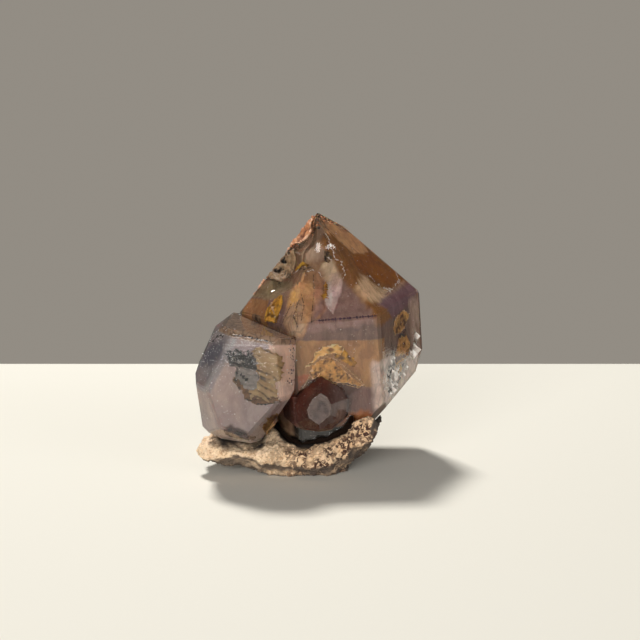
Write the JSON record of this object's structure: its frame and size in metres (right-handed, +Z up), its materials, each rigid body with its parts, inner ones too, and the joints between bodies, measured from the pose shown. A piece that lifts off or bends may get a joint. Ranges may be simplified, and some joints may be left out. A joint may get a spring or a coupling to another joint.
{
  "type": "amethyst crystal cluster",
  "caption": "Stout smoky amethyst point with a pale side crystal and a small foot crystal on a rough piece of host rock that stands on its flat underside.",
  "frame": {"origin": "middle of the bounding box's underside, where the host rock's flat underside rests", "axes": "+Z up, along the stout point; -Y to the front, the side with the side crystal and the foot crystal; +X to the right seen from the front"},
  "size_m": [0.0426, 0.0364, 0.0471],
  "materials": {
    "smoky_amethyst": "clear smoky brown quartz with purple zones, glassy crystal faces",
    "pale_amethyst": "pale grey-mauve quartz with a faintly frosted skin",
    "stained_quartz": "dark red-brown iron-stained quartz with a frosted end face",
    "host_rock": "rough tan granular rock with dark specks"
  },
  "bodies": {
    "root": {"main_crystal": "smoky_amethyst", "left_crystal": "pale_amethyst", "front_crystal": "stained_quartz", "host_rock": "host_rock"}
  },
  "joints": []
}
